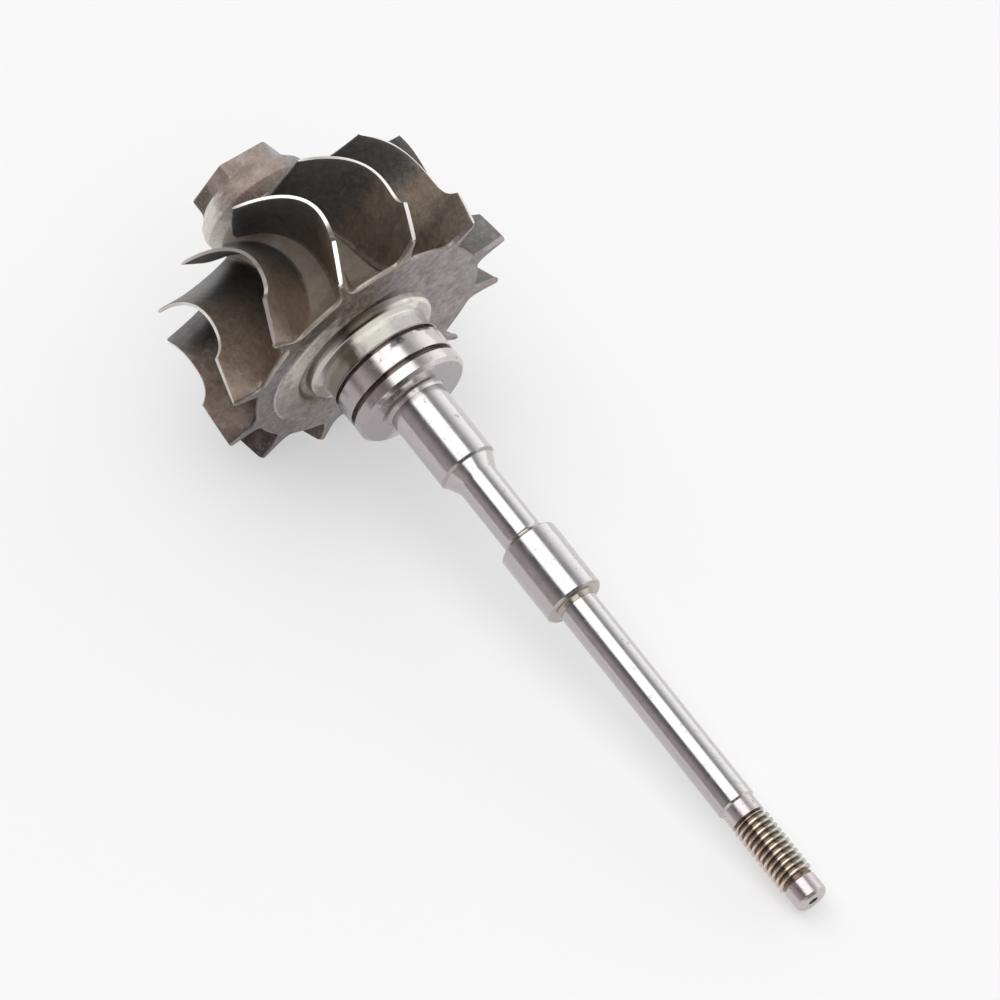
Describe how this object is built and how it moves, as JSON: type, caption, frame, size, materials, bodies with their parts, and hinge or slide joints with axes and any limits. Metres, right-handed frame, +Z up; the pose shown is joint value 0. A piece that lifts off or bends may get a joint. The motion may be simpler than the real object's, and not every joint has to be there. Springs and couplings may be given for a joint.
{
  "type": "turbocharger shaft and wheel",
  "caption": "Turbocharger rotor: scalloped radial turbine wheel with curved blades and hexagonal nose on a stepped ground shaft with seal boss, two journals and a threaded end.",
  "frame": {"origin": "centre of the bounding box's base: on the floor, under the middle of the rotor's length", "axes": "+X runs level along the rotor from the hexagonal nose to the threaded end, +Z is up; the shaft's own axis dips about 11.4 degrees below +X, because the rotor lies on two lobes of its wheel and on its pilot tip"},
  "size_m": [0.1448, 0.0514, 0.0521],
  "materials": {
    "cast_alloy": "dark brown investment-cast nickel alloy, fine grain",
    "cast_disc": "mauve-grey cast disc with fine grain and faint machining",
    "blade_cast": "dark brown cast skins with bright machined rim and inlet edges",
    "ground_cast": "light grey cast collar, ground on its cone",
    "nose_cast": "rough brown-grey cast hexagon",
    "weld_steel": "bright rounded weld bulge and dark neck",
    "turned_steel": "turned steel with fine circular tool marks",
    "ground_steel": "ground steel, glossy round the shaft with small nicks",
    "oxidised_steel": "rolled thread with golden brown oxide in the flanks"
  },
  "bodies": {
    "root": {"wheel_hub": "cast_alloy", "back_disc": "cast_disc", "blade_01": "blade_cast", "blade_02": "blade_cast", "blade_03": "blade_cast", "blade_04": "blade_cast", "blade_05": "blade_cast", "blade_06": "blade_cast", "blade_07": "blade_cast", "blade_08": "blade_cast", "blade_09": "blade_cast", "blade_10": "blade_cast", "blade_11": "blade_cast", "blade_12": "blade_cast", "nose_collar": "ground_cast", "hex_nose": "nose_cast", "weld_neck": "weld_steel", "seal_boss": "turned_steel", "journal_wheel_side": "ground_steel", "shaft_waist": "turned_steel", "journal_compressor_side": "ground_steel", "stub_shaft": "ground_steel", "thread_relief": "turned_steel", "threaded_end": "oxidised_steel", "pilot_tip": "ground_steel"}
  },
  "joints": []
}
